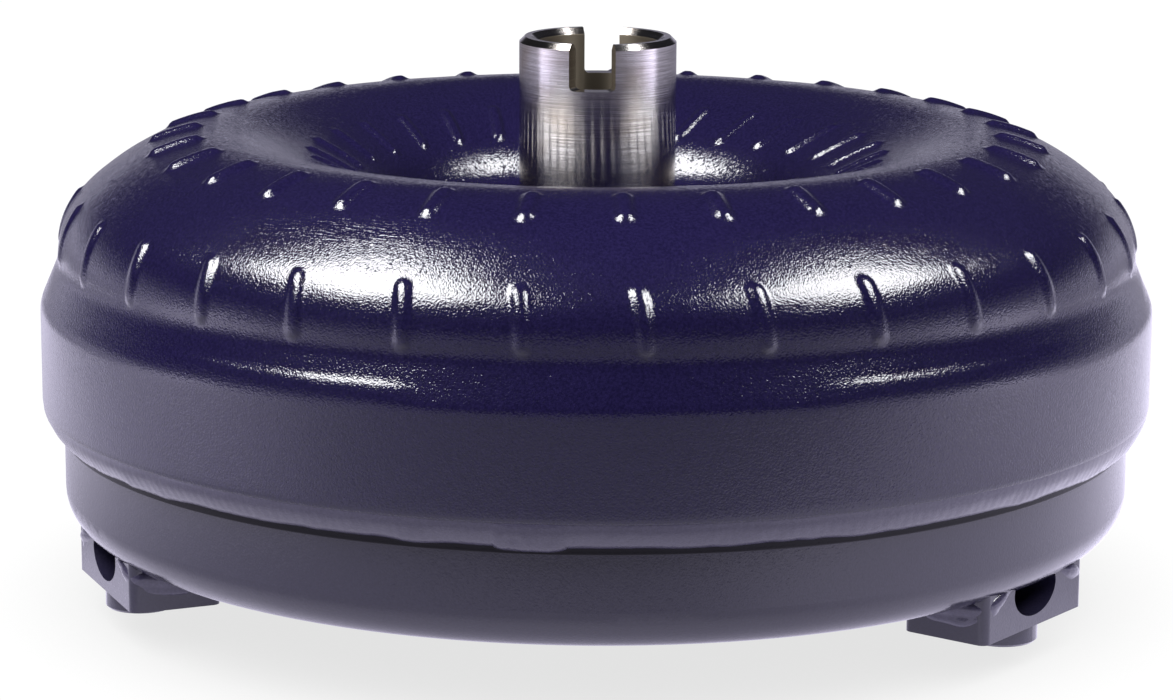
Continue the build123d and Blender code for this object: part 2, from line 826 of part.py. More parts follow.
pieces = {
    "front_cover": make_front_cover(),
    "crank_pilot": make_crank_pilot(),
    "pilot_weld": make_pilot_weld(),
    "mounting_lugs": at_lug_angles(lug),
    "lug_welds": at_lug_angles(make_lug_bead(cover_outside, lug)),
    "impeller_shell": make_impeller_shell(),
    "closure_weld": make_closure_weld(),
    "impeller_hub": make_impeller_hub(),
    "hub_weld": make_hub_weld(),
    "impeller_core_ring": make_core_ring(1, impeller_core_z),
    "impeller_blades": make_impeller_blades(),
    "turbine_shell": make_turbine_shell(),
    "turbine_core_ring": make_core_ring(-1, turbine_core_z),
    "turbine_blades": make_turbine_blades(),
    "turbine_hub": make_turbine_hub(),
    "turbine_rivets": make_turbine_rivets(),
    "stator_wheel": make_stator_wheel(),
    "clutch_outer_race": make_clutch_outer_race(),
    "clutch_inner_race": make_clutch_inner_race(),
    "clutch_springs": make_clutch_springs(),
    "clutch_front_cap": make_clutch_cap(cap_low_z),
    "clutch_rear_cap": make_clutch_cap(cavity_high_z),
    "stator_snap_ring": make_snap_ring(),
}
for k in range(n_rollers):
    pieces[f"clutch_roller_{k + 1:02d}"] = make_roller(360.0 / n_rollers * k)
for name, lower, upper, low_z, inner_r, outer_r in bearings:
    needle_span = (inner_r + 2.0, outer_r - 2.0)
    bearing = f"{name}_bearing"
    pieces[f"{bearing}_race_{lower}"] = make_bearing_race(low_z + 0.03, inner_r, outer_r)
    pieces[f"{bearing}_race_{upper}"] = make_bearing_race(low_z + 4.0, inner_r, outer_r)
    pieces[f"{bearing}_cage"] = make_bearing_cage(low_z, inner_r, outer_r, *needle_span)
    pieces[f"{bearing}_needles"] = make_needles(low_z, *needle_span)

for name, part in pieces.items():
    part.label = name
    export_step(part, f"parts/{name}.step")
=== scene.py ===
import json
import math

import bmesh
import bpy
import numpy as np
from mathutils import Euler, Matrix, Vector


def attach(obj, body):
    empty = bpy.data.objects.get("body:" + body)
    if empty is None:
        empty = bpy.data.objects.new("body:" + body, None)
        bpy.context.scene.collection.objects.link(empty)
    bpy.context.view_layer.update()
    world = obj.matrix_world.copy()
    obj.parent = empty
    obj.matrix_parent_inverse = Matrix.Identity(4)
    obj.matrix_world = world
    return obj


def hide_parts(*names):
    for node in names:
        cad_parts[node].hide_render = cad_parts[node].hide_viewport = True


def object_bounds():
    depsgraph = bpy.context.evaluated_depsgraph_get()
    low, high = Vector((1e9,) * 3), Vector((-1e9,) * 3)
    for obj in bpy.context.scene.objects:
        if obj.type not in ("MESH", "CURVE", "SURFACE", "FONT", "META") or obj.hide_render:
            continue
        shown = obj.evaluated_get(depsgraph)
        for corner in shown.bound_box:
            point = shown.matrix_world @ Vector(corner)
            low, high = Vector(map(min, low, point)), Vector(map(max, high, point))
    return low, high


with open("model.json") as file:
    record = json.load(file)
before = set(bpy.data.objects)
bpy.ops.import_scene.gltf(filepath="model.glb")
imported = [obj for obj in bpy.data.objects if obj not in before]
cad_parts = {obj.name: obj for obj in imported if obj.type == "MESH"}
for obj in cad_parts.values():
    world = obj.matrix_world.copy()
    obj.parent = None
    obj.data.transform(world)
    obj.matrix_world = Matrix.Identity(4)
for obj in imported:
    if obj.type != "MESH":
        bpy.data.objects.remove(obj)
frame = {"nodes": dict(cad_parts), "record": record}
cad_box = [list(map(float, corner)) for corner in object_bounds()]
nodes = frame["nodes"]
scene = bpy.context.scene
MM = 0.001

# ------------------------------------------------------------------ dimensions, mm and degrees
CREST_R, CREST_Z = 114.2, 135.0
SHELL_THICKNESS = 4.0
BORE_R = 24.62  # hole in the middle of the shell
BAND_END_Z = 55.5  # where the upright band meets its rounded lower edge
INNER_BAND_R = 162.5
EDGE_R, EDGE_Z = 163.2, 50.2  # last point of the lower edge

RIB_COUNT = 31
RIB_PITCH = 360.0 / RIB_COUNT
RIB_PHASE = 4.25 - 90.0
RIB_DENSE = 2.4  # half angle of the dense columns at each rib
# radius, angle by which the rib rows swing round the axis
CAMBER = np.array([
    (60, 7.4), (72, 4.2), (80, 2.4), (88, 1.1), (100, -0.2), (112, -0.8), (124, -1.0),
    (136, -0.95), (148, -0.65), (156, -0.35), (163.5, 0.45)])

# Closure weld section, from inside the rim over the face of the bead to its toe.
# radius, z, share of the outward unevenness, share of the droop, painted shadow at the toe
WELD_SECTION = np.array([
    (163.5, 53.4, 0, 0, 0), (166.6, 54.0, 0, 0, 0), (168.5, 54.2, 0.15, 0, 0),
    (168.5, 53.2, 0.5, 0.02, 0), (168.0, 51.6, 0.9, 0.08, 0), (167.55, 50.6, 1, 0.2, 0),
    (167.0, 49.6, 1, 0.35, 0), (166.4, 48.6, 1, 0.55, 0), (165.8, 47.7, 1, 0.75, 0),
    (165.1, 46.9, 1, 0.95, 0), (164.3, 46.35, 0.8, 1, 0.25), (163.3, 46.1, 0.3, 1, 0.9),
    (162.72, 45.9, 0, 1, 1), (162.62, 45.4, 0, 0.55, 1), (162.6, 44.9, 0, 0.3, 1),
    (162.6, 44.5, 0, 0.2, 1), (162.55, 44.15, 0, 0, 0.85), (162.2, 43.9, 0, 0, 0.6),
    (162.2, 47.0, 0, 0, 0)])
WELD_COLUMNS = 2400
WELD_MAX_R = 168.75

LUG_ANGLES = [-36.7 + turn for turn in (0, -120, 120)]
# Beads at one end of a lug: path of (radial, tangential, z), ball radii spread evenly
# along it, share by which the radius wobbles, noise seed
LUG_BEADS = [
    # upper pass against the cover
    ([(133, 26.4, 15.0), (146, 26.4, 14.8), (154.6, 25.4, 15.6)],
     [2.6, 3.2, 3.0, 2.4], 0.10, 0),
    # lower pass down the end of the block
    ([(136, 25.9, 11.9), (149, 26.0, 11.6), (155.0, 25.4, 12.4)],
     [1.6, 2.4, 2.3, 1.7], 0.12, 300),
    # over the corner, tapering along the outer face under the cover
    ([(154.9, 25.2, 15.6), (155.6, 22.0, 16.8), (155.9, 17.5, 18.0), (155.9, 13.6, 19.0)],
     [2.4, 2.6, 2.2, 1.5], 0.10, 600),
    ([(154.9, 25.0, 12.6), (155.4, 21.0, 14.6), (155.6, 17.0, 16.8)],
     [2.0, 1.9, 1.3], 0.12, 900),
]
BALL_SPACING = 0.55
LUG_WELD_VOXEL = 0.6


# ------------------------------------------------------------------ shape helpers
def chain(start, heading, steps, spacing=0.9):
    """Points (r, z) sampled along tangent pieces.

    A step is (radius, turn in degrees) for an arc or ("L", length) for a line.
    """
    x, y = start
    angle = math.radians(heading)
    points = [(x, y)]
    for size, amount in steps:
        if size == "L":
            count = max(1, int(amount / spacing))
            for k in range(1, count + 1):
                points.append((x + math.cos(angle) * amount * k / count,
                               y + math.sin(angle) * amount * k / count))
            x, y = points[-1]
            continue
        turn = math.radians(amount)
        sign = 1 if turn > 0 else -1
        center_x = x - sign * size * math.sin(angle)
        center_y = y + sign * size * math.cos(angle)
        count = max(3, int(abs(size * turn) / spacing))
        for k in range(1, count + 1):
            part = turn * k / count
            points.append((center_x + sign * size * math.sin(angle + part),
                           center_y - sign * size * math.cos(angle + part)))
        angle += turn
        x, y = points[-1]
    return np.array(points)


def smoothstep(start, end, x):
    t = np.clip((x - start) / (end - start), 0, 1)
    return t * t * (3 - 2 * t)


def value_noise(x, seed, period=4096):
    """Smooth 1-D noise between -1 and 1."""
    values = np.random.default_rng(seed).uniform(-1, 1, 4096)
    i = np.floor(x).astype(int)
    t = x - i
    t = t * t * (3 - 2 * t)
    return values[i % period] * (1 - t) + values[(i + 1) % period] * t


def degrees_from_front(theta):
    """Angle from -Y, between -180 and 180, positive towards +X."""
    return (np.degrees(theta) + 90.0 + 180.0) % 360.0 - 180.0


def build_mesh(name, verts, faces):
    """Mesh from vertices in metres and faces that all have the same corner count."""
    mesh = bpy.data.meshes.new(name)
    mesh.vertices.add(len(verts))
    mesh.vertices.foreach_set("co", verts.astype(np.float32).ravel())
    mesh.loops.add(faces.size)
    mesh.loops.foreach_set("vertex_index", faces.astype(np.int32).ravel())
    mesh.polygons.add(len(faces))
    starts = np.arange(0, faces.size, faces.shape[1], dtype=np.int32)
    mesh.polygons.foreach_set("loop_start", starts)
    mesh.update(calc_edges=True)
    return mesh


def link_object(name, mesh):
    obj = bpy.data.objects.new(name, mesh)
    scene.collection.objects.link(obj)
    return obj


def housing_piece(name, mesh, material):
    mesh.materials.append(material)
    obj = link_object(name, mesh)
    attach(obj, "housing")
    return obj


def ring_object(name, radius, z, theta, material, sharp_deg):
    """Ring from grids in mm: rows close round the section, columns round the axis."""
    verts = np.stack([radius * np.cos(theta), radius * np.sin(theta), z], -1)
    rows, cols = radius.shape
    i, j = np.meshgrid(np.arange(rows), np.arange(cols), indexing="ij")
    i2, j2 = (i + 1) % rows, (j + 1) % cols
    quads = np.stack([i * cols + j, i2 * cols + j, i2 * cols + j2, i * cols + j2], -1)
    verts = verts.reshape(-1, 3).astype(np.float32) * MM
    mesh = build_mesh(name, verts, quads.reshape(-1, 4))
    mesh.polygons.foreach_set("use_smooth", np.ones(len(mesh.polygons), bool))
    mesh.validate()
    mesh.set_sharp_from_angle(angle=math.radians(sharp_deg))
    return housing_piece(name, mesh, material)


def point_attribute(obj, name, kind, key, values):
    attribute = obj.data.attributes.new(name, kind, "POINT")
    attribute.data.foreach_set(key, values.astype(np.float32).ravel())


# ------------------------------------------------------------------ node helpers
def set_inputs(tree, node, values):
    """Give each input, by name or index, a value or a link from a socket."""
    for key, value in values.items():
        if isinstance(value, bpy.types.NodeSocket):
            tree.links.new(value, node.inputs[key])
        else:
            node.inputs[key].default_value = value


def add_node(tree, kind, inputs=None, **settings):
    node = tree.nodes.new("ShaderNode" + kind)
    for key, value in settings.items():
        setattr(node, key, value)
    set_inputs(tree, node, inputs or {})
    return node


def new_material(name):
    material = bpy.data.materials.new(name)
    material.use_nodes = True
    tree = material.node_tree
    return material, tree, tree.nodes["Principled BSDF"]


def object_coord(tree):
    return add_node(tree, "TexCoord").outputs["Object"]


def attribute(tree, name, output="Fac"):
    return add_node(tree, "Attribute", attribute_name=name).outputs[output]


def noise(tree, coord, scale, detail=2.0, rough=0.5):
    inputs = {"Scale": scale, "Detail": detail, "Roughness": rough, "Vector": coord}
    return add_node(tree, "TexNoise", inputs).outputs["Fac"]


def calc(tree, operation, first, second):
    return add_node(tree, "Math", {0: first, 1: second}, operation=operation).outputs[0]


def vector_calc(tree, operation, first, second):
    return add_node(tree, "VectorMath", {0: first, 1: second}, operation=operation).outputs[0]


def vector_length(tree, vector):
    return add_node(tree, "VectorMath", {0: vector}, operation="LENGTH").outputs["Value"]


def map_range(tree, value, source=(0, 1), target=(0, 1), **settings):
    inputs = {"From Min": source[0], "From Max": source[1],
              "To Min": target[0], "To Max": target[1], "Value": value}
    return add_node(tree, "MapRange", inputs, **settings).outputs[0]


def mix(tree, data_type, factor, first, second):
    # a Mix node holds separate sockets for each data type
    start, output = {"FLOAT": (2, 0), "RGBA": (6, 2)}[data_type]
    inputs = {"Factor": factor, start: first, start + 1: second}
    return add_node(tree, "Mix", inputs, data_type=data_type).outputs[output]


def stretch(tree, coord, scale):
    return add_node(tree, "Mapping", {"Scale": scale, "Vector": coord}).outputs["Vector"]


def bump_chain(tree, layers, normal=None):
    """Stack bumps given as (height, distance in metres, strength); returns the normal."""
    for height, distance, strength in layers:
        inputs = {"Distance": distance, "Strength": strength, "Height": height}
        if normal is not None:
            inputs["Normal"] = normal
        normal = add_node(tree, "Bump", inputs).outputs["Normal"]
    return normal


def flakes(tree, coord, scale, share, tilt):
    """Surface normal with scattered small facets leaning off it, like pebbled flake."""
    cell = add_node(tree, "TexVoronoi", {"Scale": scale, "Vector": coord}).outputs["Color"]
    part = add_node(tree, "SeparateColor", {0: cell}).outputs[2]
    picked = calc(tree, "GREATER_THAN", part, 1.0 - share)
    lean = vector_calc(tree, "SUBTRACT", cell, (0.5, 0.5, 0.5))
    amount = calc(tree, "MULTIPLY", picked, tilt)
    scaled = add_node(tree, "VectorMath", {0: lean, "Scale": amount}, operation="SCALE")
    surface = add_node(tree, "NewGeometry").outputs["Normal"]
    total = vector_calc(tree, "ADD", surface, scaled.outputs[0])
    return add_node(tree, "VectorMath", {0: total}, operation="NORMALIZE").outputs[0]


# ------------------------------------------------------------------ paint
def shade_toe(tree, bsdf, color):
    """Painted shadow line at the toe of the bead: near-black colour and thinner coat."""
    toe = attribute(tree, "toe")
    color = mix(tree, "RGBA", toe, color, (0.0045, 0.0038, 0.0065, 1))
    set_inputs(tree, bsdf, {"Coat Weight": map_range(tree, toe, target=(1.0, 0.16))})
    return color


def ripple_layer(tree):
    """Bump layer for the streaks on the shoulder."""
    streak = noise(tree, attribute(tree, "ripple_at", "Vector"), scale=1.0, detail=1.5)
    height = calc(tree, "MULTIPLY", streak, attribute(tree, "ripple"))
    return height, 0.00028, 0.5


def shell_tilt(tree, coord, tilt):
    """Flake tilt by radius: coarser down in the bowl, finer at the outer band."""
    radius = vector_length(tree, vector_calc(tree, "MULTIPLY", coord, (1, 1, 0)))
    bowl = map_range(tree, radius, source=(0.072, 0.098), target=(0.34, tilt))
    rim = map_range(tree, radius, source=(0.152, 0.160), target=(1.0, 0.55))
    return calc(tree, "MULTIPLY", bowl, rim)


def paint(name, dark, light, pebble=1.0, rough=0.26, shell=False, toe_shadow=False):
    """Dark indigo under a pebbled gloss coat. Both are bumped; the coat also has flakes."""
    material, tree, bsdf = new_material(name)
    coord = object_coord(tree)
    cloud = noise(tree, coord, scale=22.0, detail=4.0)
    fleck = noise(tree, coord, scale=1250.0, detail=1.0, rough=0.4)
    fleck = map_range(tree, fleck, source=(0.32, 0.68))
    blend = mix(tree, "FLOAT", 0.62, cloud, fleck)
    color = mix(tree, "RGBA", blend, (*dark, 1), (*light, 1))
    # painted shadow along the toe of the weld bead
    if toe_shadow:
        color = shade_toe(tree, bsdf, color)
    set_inputs(tree, bsdf, {
        "Base Color": color, "Roughness": rough, "Metallic": 0.0, "Specular IOR Level": 0.12,
        "Coat Roughness": 0.05, "Coat IOR": 1.6})
    bsdf.inputs["Coat Weight"].default_value = 1.0
    grain = noise(tree, coord, scale=1700.0, detail=1.5, rough=0.55)
    peel = noise(tree, coord, scale=260.0)
    wave = noise(tree, coord, scale=60.0, detail=1.0)
    layers = [(wave, 0.0005, 0.10), (peel, 0.0002, 0.13 * pebble),
              (grain, 0.00013, 0.8 * pebble)]
    if shell:
        layers.append(ripple_layer(tree))
    set_inputs(tree, bsdf, {"Normal": bump_chain(tree, layers)})
    tilt = 0.15 * pebble
    if shell:
        tilt = shell_tilt(tree, coord, tilt)
    leaning = flakes(tree, coord, scale=1500.0, share=0.36, tilt=tilt)
    set_inputs(tree, bsdf, {"Coat Normal": bump_chain(tree, layers, leaning)})
    return material


# ------------------------------------------------------------------ steel
HUB_BORE = 0.01845  # radius in metres inside which the hub is brown


def stain(tree, coord, color):
    """Brownish blots over a colour."""
    blot = noise(tree, coord, scale=48.0, detail=3.0)
    amount = map_range(tree, blot, source=(0.45, 0.75), target=(0, 0.7))
    return mix(tree, "RGBA", amount, color, (0.33, 0.26, 0.19, 1))


def brown_bore(tree, bsdf, coord, color):
    """Duller brown finish inside the hub's bore."""
    place = add_node(tree, "SeparateXYZ", {0: coord}).outputs
    flat = add_node(tree, "CombineXYZ", {"X": place["X"], "Y": place["Y"]}).outputs[0]
    inside = calc(tree, "LESS_THAN", vector_length(tree, flat), HUB_BORE)
    brown = mix(tree, "RGBA", inside, color, (0.105, 0.088, 0.066, 1))
    set_inputs(tree, bsdf, {"Base Color": brown})
    for socket, bore_value in (("Roughness", 0.5), ("Metallic", 0.7)):
        outside = bsdf.inputs[socket].default_value
        set_inputs(tree, bsdf, {socket: mix(tree, "FLOAT", inside, outside, bore_value)})


def steel(name, dark, light, rough, turned=False, hub=False):
    """Bare metal. Turned metal has fine lathe lines and stretched highlights."""
    material, tree, bsdf = new_material(name)
    coord = object_coord(tree)
    banded = stretch(tree, coord, (1.6, 1.6, 70.0 if turned else 1.0))
    band = noise(tree, banded, scale=34.0, detail=5.0, rough=0.65)
    band = map_range(tree, band, source=(0.18, 0.72) if turned else (0.2, 0.8))
    color = mix(tree, "RGBA", band, (*dark, 1), (*light, 1))
    set_inputs(tree, bsdf, {"Metallic": 1.0, "Roughness": rough})
    if hub:
        brown_bore(tree, bsdf, coord, stain(tree, coord, color))
    else:
        set_inputs(tree, bsdf, {"Base Color": color})
    layers = [(noise(tree, coord, scale=420.0), 0.0001, 0.12)]
    if turned:
        fine = stretch(tree, coord, (3.0, 3.0, 2600.0))
        layers.append((noise(tree, fine, scale=1.0, detail=3.0, rough=0.7), 0.00012, 0.16))
    set_inputs(tree, bsdf, {"Normal": bump_chain(tree, layers)})
    if turned:
        tangent = add_node(tree, "Tangent", direction_type="RADIAL", axis="Z")
        set_inputs(tree, bsdf, {"Anisotropic": 0.9, "Anisotropic Rotation": 0.25,
                                "Tangent": tangent.outputs[0]})
    return material


shell_paint = paint("indigo_paint", dark=(0.0035, 0.0023, 0.0180),
                    light=(0.0098, 0.0069, 0.0375), shell=True)
# lighter copy of the shell's indigo paint for the indigo_paint parts: partly painted reflection
# of the floor on the lower body
lit_cover_paint = paint("indigo_cover_lit", dark=(0.012, 0.0105, 0.026),
                    light=(0.017, 0.015, 0.034), pebble=0.4, rough=0.32)
# lighter copy of the indigo paint for the weld beads: painted reflection of the floor light
lit_weld_paint = paint("indigo_weld_lit", dark=(0.030, 0.026, 0.054),
                   light=(0.050, 0.045, 0.080), pebble=0.45, rough=0.3, toe_shadow=True)
TURNED_COLORS = {"dark": (0.21, 0.188, 0.178), "light": (0.72, 0.70, 0.70)}
turned_steel = steel("turned_steel", **TURNED_COLORS, rough=0.16, turned=True)
hub_steel = steel("hub_steel", **TURNED_COLORS, rough=0.13, turned=True, hub=True)
slot_materials = {"indigo_paint": lit_cover_paint, "turned_steel": turned_steel}
# plain metals: slot, dark colour, light colour, roughness
for slot, dark, light, rough in [
    ("pressed_steel", (0.24, 0.24, 0.25), (0.40, 0.40, 0.41), 0.38),
    ("cast_aluminium", (0.50, 0.50, 0.51), (0.68, 0.68, 0.69), 0.42),
    ("hardened_steel", (0.42, 0.42, 0.43), (0.60, 0.60, 0.62), 0.16),
    ("spring_steel", (0.14, 0.14, 0.16), (0.24, 0.24, 0.27), 0.3),
    ("bearing_cage", (0.48, 0.36, 0.17), (0.62, 0.48, 0.24), 0.3),
]:
    slot_materials[slot] = steel(slot, dark, light, rough)

for subpart in frame["record"]["subparts"]:
    materials = nodes[subpart["node"]].data.materials
    materials.clear()
    materials.append(slot_materials[subpart["material_slot"]])
nodes["impeller_hub"].data.materials[0] = hub_steel
# the weld beads get the lighter indigo copy, which carries painted floor reflection
for name in ("lug_welds", "hub_weld", "pilot_weld"):
    nodes[name].data.materials[0] = lit_weld_paint


# ------------------------------------------------------------------ impeller shell
def shell_skin():
    """Outer face as (r, z), from the bore over the crest to the lower edge."""
    bowl = chain((CREST_R, CREST_Z), 180, [(44, 14), (110, 18), (26, 23), (16, -55)])
    shoulder = chain((CREST_R, CREST_Z), 0, [(44, -16), (72, -26), (26, -46)])
    flare = chain(tuple(shoulder[-1]), -88, [(12, 21), ("L", 9.75), (10, -23)])
    band_r, band_z = flare[-1]
    band = chain((band_r, band_z), -90, [("L", band_z - BAND_END_Z)], spacing=2.2)
    edge = [[band_r - 0.15, 54.2], [band_r - 1.3, 52.9], [band_r - 3.4, 51.0],
            [164.4, 50.3], [EDGE_R, EDGE_Z]]
    flat = [[r, bowl[-1][1]] for r in (BORE_R, 30, 37, 44)]
    return np.vstack([flat, bowl[::-1], shoulder[1:], flare[1:], band[1:], edge])


def build_shell():
    skin = shell_skin()
    tangent = np.gradient(skin, axis=0)
    tangent /= np.hypot(*tangent.T)[:, None]
    normal = np.stack([-tangent[:, 1], tangent[:, 0]], 1)  # points out of the sheet
    s = np.concatenate([[0], np.cumsum(np.hypot(*np.diff(skin, axis=0).T))])  # arc length
    r, z = skin.T
    crest = int(np.argmax(z))
    outer_end = crest + int(np.argmax(r[crest:] >= 163.0))

    def s_bowl(radius):
        return float(np.interp(radius, r[:crest], s[:crest]))

    def s_shoulder(radius):
        return float(np.interp(radius, r[crest:outer_end], s[crest:outer_end]))

    s_low = s[crest + int(np.argmax(z[crest:] <= CREST_Z - 36.2))]
    # start and end along the section, height, half width
    rib_rows = [(s_bowl(71.6), s_bowl(88.6), 1.0, 2.4),
                (s_shoulder(119.6), s_shoulder(136.6), 1.4, 3.3),
                (s_shoulder(156.0), s_low, 0.85, 2.7)]

    # columns: dense across each rib, sparse between ribs
    half = RIB_PITCH / 2
    offsets = np.concatenate([np.linspace(-half, -RIB_DENSE, 9)[:-1],
                              np.linspace(-RIB_DENSE, RIB_DENSE, 25),
                              np.linspace(RIB_DENSE, half, 9)[1:-1]])
    column_deg = (RIB_PHASE + np.add.outer(np.arange(RIB_COUNT) * RIB_PITCH, offsets)).ravel()
    camber = np.interp(r, *CAMBER.T)[:, None]
    theta = np.radians(column_deg[None, :] + camber)
    across = np.radians(np.tile(offsets, RIB_COUNT)[None, :]) * r[:, None]
    lift = np.zeros_like(theta)
    for start, end, height, width in rib_rows:
        along = np.maximum(np.maximum(start + width - s, s - (end - width)), 0)[:, None]
        distance = np.sqrt(along**2 + across**2) / width
        lift = np.maximum(lift, height * (1 - smoothstep(0.2, 1.16, distance)))

    # the sheet's own slow unevenness, faded out at the bore and the band
    turn = theta / (2 * math.pi)
    uneven = 0.05 * value_noise(turn * 23, seed=3, period=23)
    uneven = uneven + 0.03 * value_noise(turn * 61 + 0.3 * s[:, None], seed=4)
    lift = lift + uneven * (smoothstep(60, 75, r) * (1 - smoothstep(167, 168.5, r)))[:, None]

    # a low step across the flare, to the left and right of the front
    around = degrees_from_front(theta)
    s_step = float(np.interp(-88.6, -z[outer_end - 1:], s[outer_end - 1:]))
    step = (0.34 * smoothstep(s_step - 2.4, s_step, s[:, None])
            * (1 - smoothstep(s_step + 0.4, s_step + 6.0, s[:, None])))
    sides = (smoothstep(-50, -38, around) * (1 - smoothstep(-20, -15, around))
             + smoothstep(20, 27, around) * (1 - smoothstep(44, 56, around)))
    lift = lift + step * sides
    outer_r = r[:, None] + normal[:, :1] * lift
    outer_z = z[:, None] + normal[:, 1:] * lift

    # inside face: sparse offset points down to z 92, then a plain upright wall
    inner = [np.array([BORE_R, z[0] - SHELL_THICKNESS])]
    inner += [skin[i] - normal[i] * SHELL_THICKNESS
              for i in range(6, len(skin) - 12, 7) if z[i] > 92]
    inner += [(159.2, 94.5), (INNER_BAND_R, 86.5), (INNER_BAND_R, EDGE_Z)]
    inner = np.array(inner)[::-1]
    cols = theta.shape[1]
    all_r = np.vstack([outer_r, np.repeat(inner[:, :1], cols, 1)])
    all_z = np.vstack([outer_z, np.repeat(inner[:, 1:], cols, 1)])
    theta = np.vstack([theta, np.repeat(theta[-1:], len(inner), 0)])
    obj = ring_object("impeller_shell_skin", all_r, all_z, theta, shell_paint, sharp_deg=40)

    # where the ripples on the left of the shoulder show, and their noise coordinates
    front = (theta - math.radians(-90) + math.pi) % (2 * math.pi) - math.pi
    front_deg = np.degrees(front)
    s_all = np.concatenate([s, np.zeros(len(inner))])[:, None]
    start, end = s_shoulder(132.0), s_shoulder(146.0)
    mask = (smoothstep(start, start + 9, s_all) * (1 - smoothstep(end, end + 4, s_all))
            * smoothstep(-57, -48, front_deg) * (1 - smoothstep(-24, -13, front_deg)))
    point_attribute(obj, "ripple", "FLOAT", "value", mask)
    place = np.stack(np.broadcast_arrays(s_all * 1.5, front * 26.0, 5.0), -1)
    point_attribute(obj, "ripple_at", "FLOAT_VECTOR", "vector", place)
    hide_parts("impeller_shell")


# ------------------------------------------------------------------ closure weld
def build_weld():
    theta = np.radians(np.arange(WELD_COLUMNS) * 360 / WELD_COLUMNS - 90.0)[None, :]
    turn = theta / (2 * math.pi)
    section_r, section_z, face, droop, toe = WELD_SECTION.T[:, :, None]
    row = np.arange(len(WELD_SECTION))[:, None]
    around = degrees_from_front(theta)
    ripples = 0.02 * np.sin(turn * 2 * math.pi * 330
                            + 1.2 * value_noise(turn * 60, seed=5, period=60) - 0.22 * row)
    run = (ripples + 0.07 * value_noise(turn * 240 + row * 0.3, seed=8)
           + 0.13 * value_noise(turn * 70, seed=9, period=70))
    # a lump and a swirl where the pass starts and stops
    lump = np.sqrt(np.clip(1 - ((around + 6.1) / 3.5) ** 2, 0, 1))
    reach = np.sqrt(((around + 7.6) / 2.0) ** 2 + ((row - 8.0) / 5.0) ** 2)
    swirl = np.cos(7.5 * reach) * (1 - smoothstep(0.7, 1.1, reach))
    radius = section_r + face * (run + 0.42 * lump + 0.10 * swirl)
    radius = np.minimum(radius, WELD_MAX_R)
    wander = (0.42 * value_noise(turn * 84, seed=12, period=84)
              + 0.16 * value_noise(turn * 260, seed=13, period=260))
    z = section_z + droop * (wander * 0.8 - 1.1 * lump)
    obj = ring_object("closure_weld_bead", radius, z, theta, lit_weld_paint, sharp_deg=50)
    point_attribute(obj, "toe", "FLOAT", "value", np.repeat(toe, WELD_COLUMNS, 1))
    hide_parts("closure_weld")


# ------------------------------------------------------------------ lug welds
def bead_balls(path, radii, wobble, seed):
    """Balls along a path, as (radial, tangential, z) centres and radii."""
    path = np.array(path, float)
    steps = np.linalg.norm(np.diff(path, axis=0), axis=1)
    at = np.concatenate([[0], np.cumsum(steps)])
    u = np.arange(0, at[-1], BALL_SPACING)
    centers = np.stack([np.interp(u, at, path[:, n]) for n in range(3)], 1)
    radius = np.interp(u, np.linspace(0, at[-1], len(radii)), radii)
    radius = radius * (1 + wobble * value_noise(u / 3.4, seed)) + 0.12 * np.abs(np.sin(u * 1.5))
    centers[:, 1] += 0.35 * value_noise(u / 4.0, seed + 40)
    centers[:, 2] += 0.35 * value_noise(u / 4.6, seed + 80)
    return zip(centers, radius)


def fuse_balls(name, balls):
    """Join balls given as (x, y, z, radius) in mm into one smooth skin."""
    bm = bmesh.new()
    bmesh.ops.create_icosphere(bm, subdivisions=2, radius=1.0)
    unit = np.array([v.co[:] for v in bm.verts])
    triangles = np.array([[v.index for v in f.verts] for f in bm.faces])
    bm.free()
    balls = np.array(balls)
    verts = ((unit[None] * balls[:, None, 3:] + balls[:, None, :3]) * MM).reshape(-1, 3)
    faces = triangles[None] + (np.arange(len(balls)) * len(unit))[:, None, None]
    source = link_object(name, build_mesh(name, verts, faces.reshape(-1, 3)))
    remesh = source.modifiers.new("voxel", "REMESH")
    remesh.mode = "VOXEL"
    remesh.voxel_size = LUG_WELD_VOXEL * MM
    remesh.use_smooth_shade = True
    relax = source.modifiers.new("smooth", "SMOOTH")
    relax.factor = 0.5
    relax.iterations = 7
    depsgraph = bpy.context.evaluated_depsgraph_get()
    mesh = bpy.data.meshes.new_from_object(source.evaluated_get(depsgraph))
    bpy.data.objects.remove(source)
    mesh.name = name
    for polygon in mesh.polygons:
        polygon.use_smooth = True
    return housing_piece(name, mesh, lit_weld_paint)


def build_lug_welds():
    """Fillet runs that follow the ends of each lug and turn up its outer face."""
    balls = []
    for lug, angle in enumerate(LUG_ANGLES):
        cos, sin = math.cos(math.radians(angle)), math.sin(math.radians(angle))
        for side in (-1, 1):
            for path, radii, wobble, key in LUG_BEADS:
                seed = 20 + 4 * lug + side + key
                for (radial, tangential, z), radius in bead_balls(path, radii, wobble, seed):
                    t = side * tangential
                    balls.append((radial * cos - t * sin, radial * sin + t * cos, z, radius))
    obj = fuse_balls("lug_weld_beads", balls)
    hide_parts("lug_welds")


build_shell()
build_weld()
build_lug_welds()


# ------------------------------------------------------------------ floor
FLOOR_HALF = 9
FLOOR_GAP = 0.0002


